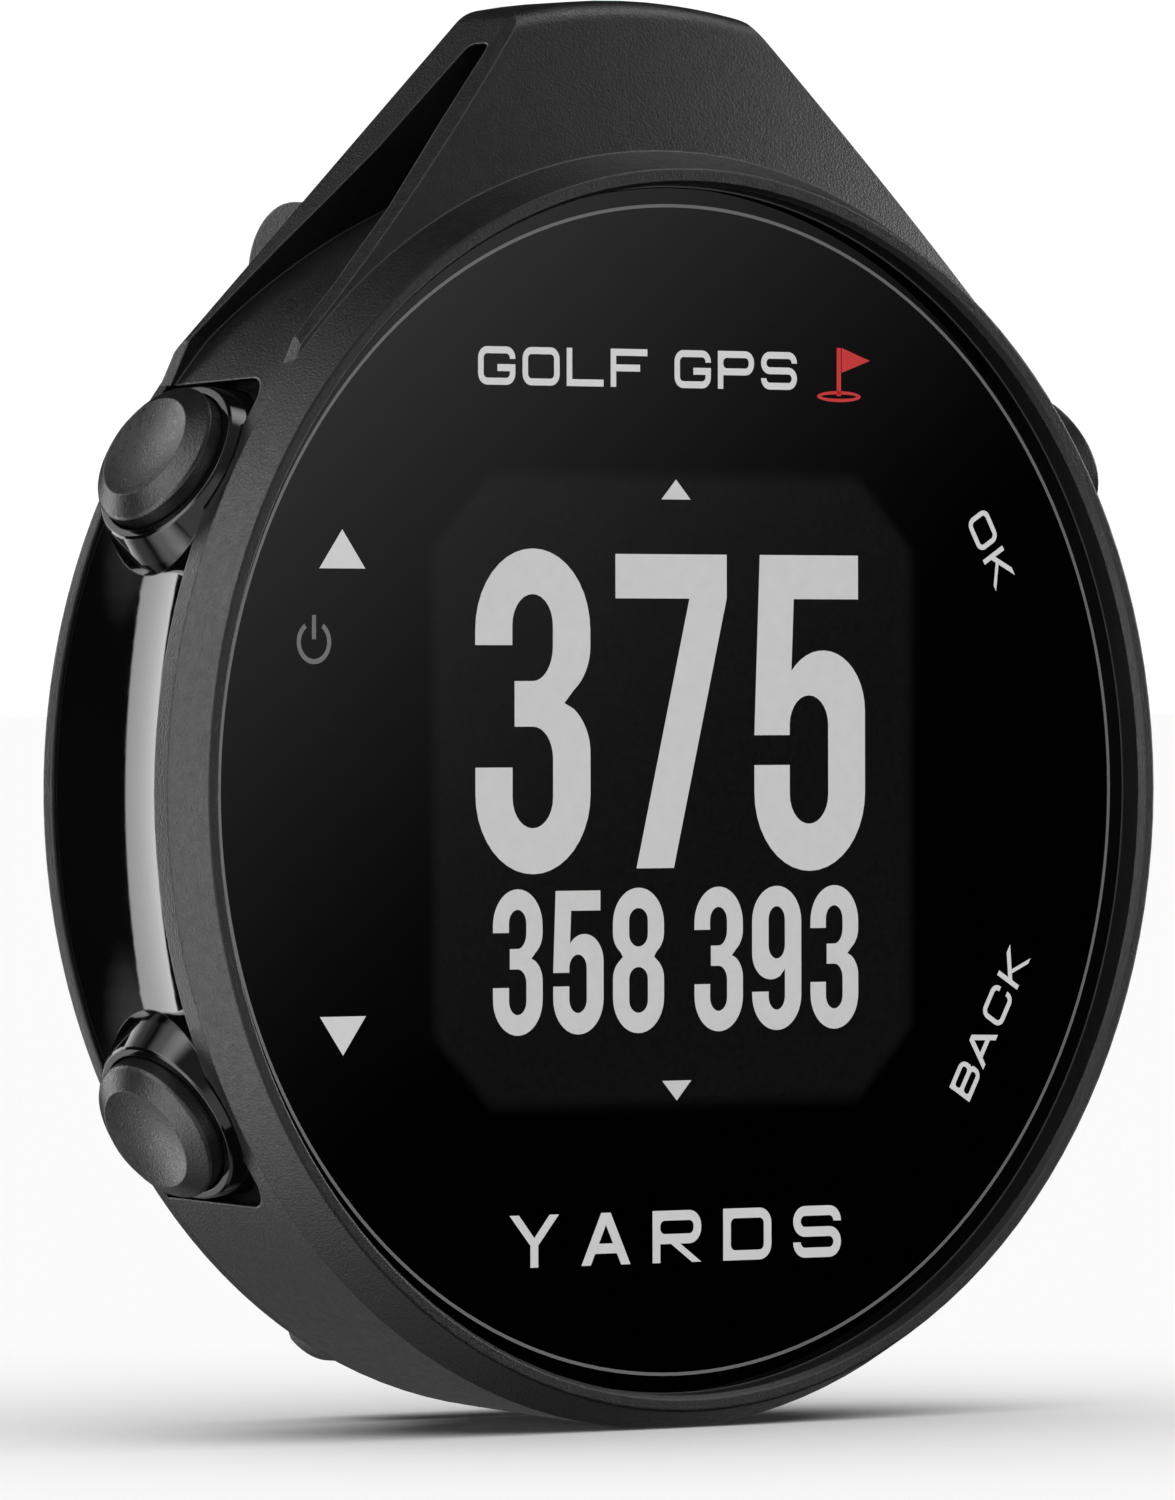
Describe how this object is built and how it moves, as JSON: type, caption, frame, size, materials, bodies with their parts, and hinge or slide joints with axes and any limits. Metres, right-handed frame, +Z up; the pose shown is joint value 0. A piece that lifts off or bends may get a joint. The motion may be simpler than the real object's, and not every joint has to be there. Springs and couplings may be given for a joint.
{
  "type": "golf gps watch",
  "caption": "Round clip-on golf GPS watch: black case with side keys, glossy waist trims, tether loop above and a sprung belt clip behind.",
  "frame": {"origin": "bottom centre of the whole watch standing upright on the flat under its case", "axes": "+Z up from the flat under the case to the tether loop, -Y out of the lens towards the viewer, +X to the viewer's right"},
  "size_m": [0.046, 0.0154, 0.0515],
  "materials": {
    "case_plastic": "fine leather-like spark texture, matt",
    "lens_glass": "polished, printed black on its back",
    "adhesive": "thin foam tape",
    "gloss_trim": "piano black, polished",
    "display_glass": "polished",
    "frame_plastic": "satin",
    "flex_film": "polyimide film",
    "switch_steel": "satin",
    "board": "solder mask",
    "tinned_steel": "satin",
    "ceramic": "fired",
    "battery_foil": "laminated foil",
    "seal_rubber": "moulded",
    "screw_steel": "black oxide",
    "gold_contact": "gold plated",
    "clip_plastic": "fine texture, matt",
    "pin_steel": "ground",
    "spring_steel": "drawn",
    "key_plastic": "fine texture, matt",
    "switch_plastic": "moulded"
  },
  "bodies": {
    "case": {"front_housing": "case_plastic", "rear_cover": "case_plastic", "lens": "lens_glass", "lens_adhesive": "adhesive", "display_adhesive": "adhesive", "battery_pad": "adhesive", "side_trim_left": "gloss_trim", "side_trim_right": "gloss_trim", "display_panel": "display_glass", "display_frame": "frame_plastic", "display_flex": "flex_film", "side_switches": "switch_steel", "main_board": "board", "shield_can": "tinned_steel", "gps_antenna": "ceramic", "buzzer": "tinned_steel", "battery": "battery_foil", "cover_gasket": "seal_rubber", "cover_screws": "screw_steel", "charging_contacts": "gold_contact", "clip_base": "clip_plastic", "clip_screws": "screw_steel", "clip_pin": "pin_steel", "clip_spring": "spring_steel"},
    "up_key": {"up_button_cap": "key_plastic", "up_button_seal": "seal_rubber", "up_button_clip": "spring_steel", "up_button_plunger": "switch_plastic"},
    "down_key": {"down_button_cap": "key_plastic", "down_button_seal": "seal_rubber", "down_button_clip": "spring_steel", "down_button_plunger": "switch_plastic"},
    "ok_key": {"ok_button_cap": "key_plastic", "ok_button_seal": "seal_rubber", "ok_button_clip": "spring_steel", "ok_button_plunger": "switch_plastic"},
    "back_key": {"back_button_cap": "key_plastic", "back_button_seal": "seal_rubber", "back_button_clip": "spring_steel", "back_button_plunger": "switch_plastic"},
    "clip_lever": {"clip_arm": "clip_plastic", "clip_pad": "seal_rubber"}
  },
  "joints": [
    {"name": "up_press", "type": "slide", "parent": "case", "child": "up_key", "axis": [0.866, 0, -0.5], "range_m": [0, 0.0005], "stiffness_N_per_m": 2500, "springref_m": -0.0003},
    {"name": "down_press", "type": "slide", "parent": "case", "child": "down_key", "axis": [0.866, 0, 0.5], "range_m": [0, 0.0005], "stiffness_N_per_m": 2500, "springref_m": -0.0003},
    {"name": "ok_press", "type": "slide", "parent": "case", "child": "ok_key", "axis": [-0.866, 0, -0.5], "range_m": [0, 0.0005], "stiffness_N_per_m": 2500, "springref_m": -0.0003},
    {"name": "back_press", "type": "slide", "parent": "case", "child": "back_key", "axis": [-0.866, 0, 0.5], "range_m": [0, 0.0005], "stiffness_N_per_m": 2500, "springref_m": -0.0003},
    {"name": "clip_hinge", "type": "hinge", "parent": "case", "child": "clip_lever", "pos_m": [0, 0.00504, 0.04168], "axis": [1, 0, 0], "range_deg": [0, 18], "stiffness_Nm_per_rad": 0.06, "springref_deg": -20.05}
  ]
}
